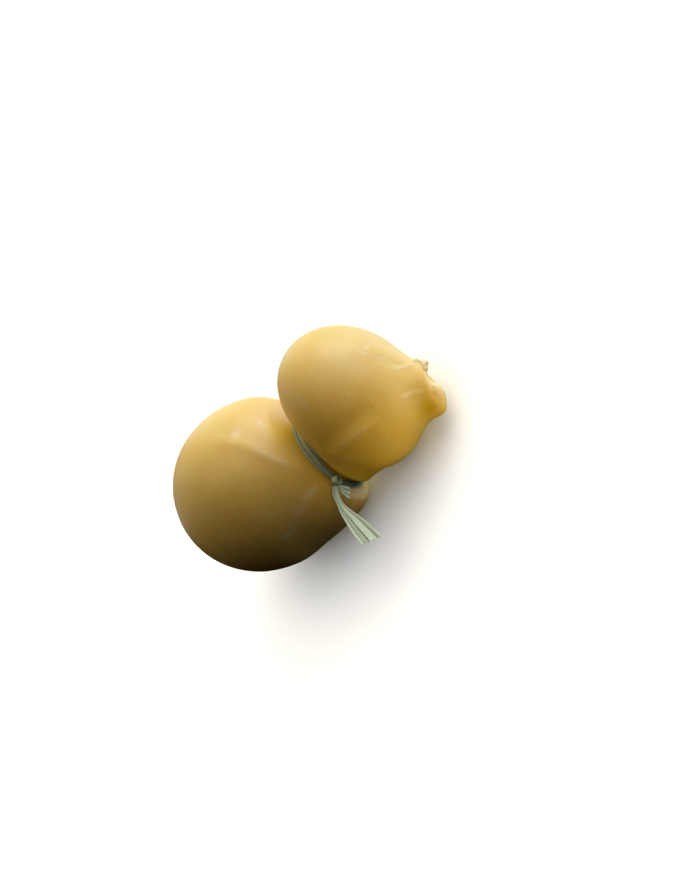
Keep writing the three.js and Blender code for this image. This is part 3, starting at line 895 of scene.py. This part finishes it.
def mottle(tree, group, coordinates, lumps):
    made = add_node(tree, "ShaderNodeGroup", node_tree=group)
    tree.links.new(coordinates, made.inputs["Coordinates"])
    made.inputs["Lumps"].default_value = lumps
    return made.outputs["Clouds"], made.outputs["Flecks"]


def new_material(name):
    material = bpy.data.materials.new(name)
    material.use_nodes = True
    tree = material.node_tree
    return material, tree, tree.nodes["Principled BSDF"]


def attribute(tree, name):
    return add_node(tree, "ShaderNodeAttribute", attribute_name=name).outputs["Fac"]


def weigh(tree, value, weight):
    """A value times a weight, which may be a number or another value."""
    return add_node(tree, "ShaderNodeMath", {0: value, 1: weight}, operation="MULTIPLY").outputs[0]


def specks(tree, place):
    """Small round dots, from 0 to 1, in some of the cells that fill a metre."""
    cell = add_node(tree, "ShaderNodeTexVoronoi", {"Vector": place, "Scale": SPECK_CELLS})
    inputs = {0: cell.outputs["Color"], 1: SPECK_RARENESS}
    chosen = add_node(tree, "ShaderNodeMath", inputs, operation="GREATER_THAN").outputs[0]
    dots = spread_values(tree, cell.outputs["Distance"], 1, 0, *SPECK_EDGE)
    return weigh(tree, dots, chosen)


def lay_surface(tree, shader, colour, uneven, roughness, bump, flecks):
    """Links a colour, a roughness that varies between two values, and flecks as a fine bump."""
    strength, metres = bump
    tree.links.new(colour, shader.inputs["Base Color"])
    tree.links.new(spread_values(tree, uneven, *roughness), shader.inputs["Roughness"])
    bumps = add_node(tree, "ShaderNodeBump", {"Height": flecks, "Strength": strength, "Distance": metres})
    tree.links.new(bumps.outputs["Normal"], shader.inputs["Normal"])


def cheese_material(group):
    """Waxy skin of a pale curd, paler in clouds, rubs and tears, with painted highlights and shade."""
    material, tree, shader = new_material("waxy_cheese")
    butter = (0.80, 0.55, 0.14, 1)
    cream = (0.84, 0.635, 0.225, 1)
    # The deeper yellow of the painted shade
    hollow_shade_yellow = (0.70, 0.46, 0.02, 1)
    curd = (0.86, 0.74, 0.48, 1)
    # Pales for the painted highlights along creases, and for rubs, specks and other painted highlights
    pale = (0.88, 0.74, 0.45, 1)
    rub_and_highlight_pale = (0.90, 0.76, 0.50, 1)
    lumps = 55.0
    cloudiness = 0.5
    fleckiness = 0.12
    speckiness = 0.9
    patchiness = (0.55, 1.0)
    roughness = (0.3, 0.44)
    bump = (0.06, 0.0004)
    place = add_node(tree, "ShaderNodeTexCoord").outputs["Object"]
    clouds, flecks = mottle(tree, group, place, lumps)
    patchy = weigh(tree, attribute(tree, "rubs_and_highlights"), spread_values(tree, flecks, *patchiness))
    colour = mix_colours(tree, weigh(tree, clouds, cloudiness), butter, cream)
    colour = mix_colours(tree, weigh(tree, flecks, fleckiness), colour, cream)
    # Painted shade: a deeper yellow in the groove and the hollows
    colour = mix_colours(tree, attribute(tree, "painted_hollow_shade"), colour, hollow_shade_yellow)
    # Pale rubs and scratches, and painted highlights
    colour = mix_colours(tree, patchy, colour, rub_and_highlight_pale)
    colour = mix_colours(tree, weigh(tree, specks(tree, place), speckiness), colour, rub_and_highlight_pale)
    # Painted highlights: pale lines along the creases
    colour = mix_colours(tree, attribute(tree, "crease_light_and_shade"), colour, pale)
    colour = mix_colours(tree, attribute(tree, "torn"), colour, curd)
    lay_surface(tree, shader, colour, clouds, roughness, bump, flecks)
    shader.inputs["Subsurface Weight"].default_value = 0.9
    shader.inputs["Subsurface Radius"].default_value = (1.0, 0.6, 0.15)
    shader.inputs["Subsurface Scale"].default_value = 0.005
    return material


def curd_material(group):
    """Torn curd, paler than the skin."""
    material, tree, shader = new_material("torn_curd")
    white = (0.86, 0.74, 0.50, 1)
    yellow = (0.80, 0.61, 0.28, 1)
    lumps = 400.0
    cloudiness = 0.8
    roughness = (0.3, 0.5)
    bump = (0.3, 0.0002)
    place = add_node(tree, "ShaderNodeTexCoord").outputs["Object"]
    clouds, flecks = mottle(tree, group, place, lumps)
    colour = mix_colours(tree, weigh(tree, clouds, cloudiness), white, yellow)
    lay_surface(tree, shader, colour, flecks, roughness, bump, flecks)
    return material


def raffia_material(group):
    """Dry pale green leaf strip with fine fibres along it, darkened by painted shade in its folds and by
    the neck.
    """
    material, tree, shader = new_material("raffia")
    pale = (0.78, 0.90, 0.74, 1)
    green = (0.50, 0.64, 0.46, 1)
    straw = (0.78, 0.82, 0.62, 1)
    shade = (0.07, 0.11, 0.07, 1)
    # The colour of the painted shade over the band, the knot and the ends beside it
    painted_tie_shade = (0.18, 0.21, 0.16, 1)
    lumps = 0.8
    stretch = 0.03
    fleckiness = 0.7
    cloudiness = 0.25
    tie_shade_amount = 0.75
    valley_shade_weight = 0.75
    roughness = (0.5, 0.75)
    bump = (0.5, 0.0001)
    aside = attribute(tree, "aside")
    ahead = weigh(tree, attribute(tree, "ahead"), stretch)
    lengthwise = add_node(tree, "ShaderNodeCombineXYZ", {"X": aside, "Y": ahead}).outputs["Vector"]
    clouds, flecks = mottle(tree, group, lengthwise, lumps)
    colour = mix_colours(tree, weigh(tree, flecks, fleckiness), pale, green)
    colour = mix_colours(tree, weigh(tree, clouds, cloudiness), colour, straw)
    # Painted shade over the band, the knot and the ends near it
    colour = mix_colours(tree, weigh(tree, attribute(tree, "painted_tie_shade"), tie_shade_amount), colour, painted_tie_shade)
    # Painted shade along the fold valleys
    colour = mix_colours(tree, weigh(tree, attribute(tree, "crease_light_and_shade"), valley_shade_weight), colour, shade)
    lay_surface(tree, shader, colour, flecks, roughness, bump, flecks)
    return material


def floor_material(group):
    material, tree, shader = new_material("pale_floor")
    grey = (0.86, 0.86, 0.85, 1)
    pale = (0.88, 0.88, 0.87, 1)
    lumps = 3.0
    place = add_node(tree, "ShaderNodeTexCoord").outputs["Object"]
    clouds, _ = mottle(tree, group, place, lumps)
    tree.links.new(mix_colours(tree, clouds, grey, pale), shader.inputs["Base Color"])
    shader.inputs["Roughness"].default_value = 0.8
    return material


def floor(material):
    """A broad level floor that throws no light or shadow back at the part."""
    half = FLOOR_WIDTH / 2
    corners = [(-half, -half, 0), (half, -half, 0), (half, half, 0), (-half, half, 0)]
    mesh = bpy.data.meshes.new("floor")
    mesh.from_pydata(corners, [], [(0, 1, 2, 3)])
    mesh.materials.append(material)
    plane = bpy.data.objects.new("floor", mesh)
    bpy.context.scene.collection.objects.link(plane)
    plane.visible_diffuse = False
    plane.visible_glossy = False
    plane.visible_shadow = False
    return plane


def add_lamp(name, kind, strength, colour, place, back):
    """A lamp at a place, shining away from the direction behind it."""
    light = bpy.data.lights.new(name, kind)
    light.energy = strength
    light.color = colour
    lamp = bpy.data.objects.new(name, light)
    turn = Matrix(np.column_stack([*crossways(back), back]).tolist()).to_4x4()
    lamp.matrix_world = Matrix.Translation(((np.array(place) - MIDDLE) / METRE).tolist()) @ turn
    bpy.context.scene.collection.objects.link(lamp)
    return lamp


def sun(name, seen_from, width, strength, colour):
    back = unit(np.array(seen_from) @ np.array((CAMERA_RIGHT, CAMERA_UP, CAMERA_BACK)))
    lamp = add_lamp(name, "SUN", strength, colour, MIDDLE, back)
    lamp.data.angle = math.radians(width)
    return lamp


def spot(name, place, aim, cone, radius, strength, colour):
    lamp = add_lamp(name, "SPOT", strength, colour, place, unit(np.subtract(place, aim)))
    lamp.data.spot_size = math.radians(cone)
    lamp.data.spot_blend = 1.0
    lamp.data.shadow_soft_size = radius / METRE
    lamp.visible_glossy = False
    return lamp


def light_only(lamp, objects):
    """Lets a lamp light some objects and no others."""
    lit = bpy.data.collections.new("lit_by_" + lamp.name)
    for thing in objects:
        lit.objects.link(thing)
    lamp.light_linking.receiver_collection = lit


def studio(plane, skin, crumb_piece, raffia_pieces):
    """Sets up the lamps and the backdrop."""
    for name, settings in LAMPS.items():
        sun(name, *settings)
    for name, settings in BOUNCES.items():
        light_only(spot(name, *settings), [skin])
    light_only(sun("floor_wash", *FLOOR_WASH), [plane])
    light_only(sun("raffia_light", *RAFFIA_LIGHT), raffia_pieces)
    light_only(sun("crumb_fill", *CRUMB_FILL), [crumb_piece])
    world = bpy.data.worlds.new("studio")
    world.use_nodes = True
    world.node_tree.nodes["Background"].inputs["Color"].default_value = BACKDROP
    rays = world.cycles_visibility
    rays.diffuse = rays.glossy = rays.transmission = rays.scatter = False
    bpy.context.scene.world = world
    bpy.context.scene.view_settings.view_transform = "Standard"


def camera():
    data = bpy.data.cameras.new("camera")
    data.sensor_fit = "VERTICAL"
    data.sensor_height = LENS
    data.sensor_width = LENS
    data.lens = LENS
    data.clip_start = 0.01
    eye = bpy.data.objects.new("camera", data)
    turn = Matrix(np.column_stack([CAMERA_RIGHT, CAMERA_UP, CAMERA_BACK]).tolist()).to_4x4()
    eye.matrix_world = Matrix.Translation(((CAMERA_PLACE - MIDDLE) / METRE).tolist()) @ turn
    bpy.context.scene.collection.objects.link(eye)
    bpy.context.scene.camera = eye


camera()
uneven = mottle_group()
skin_piece = cheese(cheese_material(uneven))
crumb_piece = crumbs(curd_material(uneven))
raffia = raffia_material(uneven)
tie = [band(raffia), knot(raffia)]
tie.append(loose_end("raffia_long_end", LONG_END, raffia))
tie.append(loose_end("raffia_short_end", SHORT_END, raffia))
studio(floor(floor_material(uneven)), skin_piece, crumb_piece, tie)
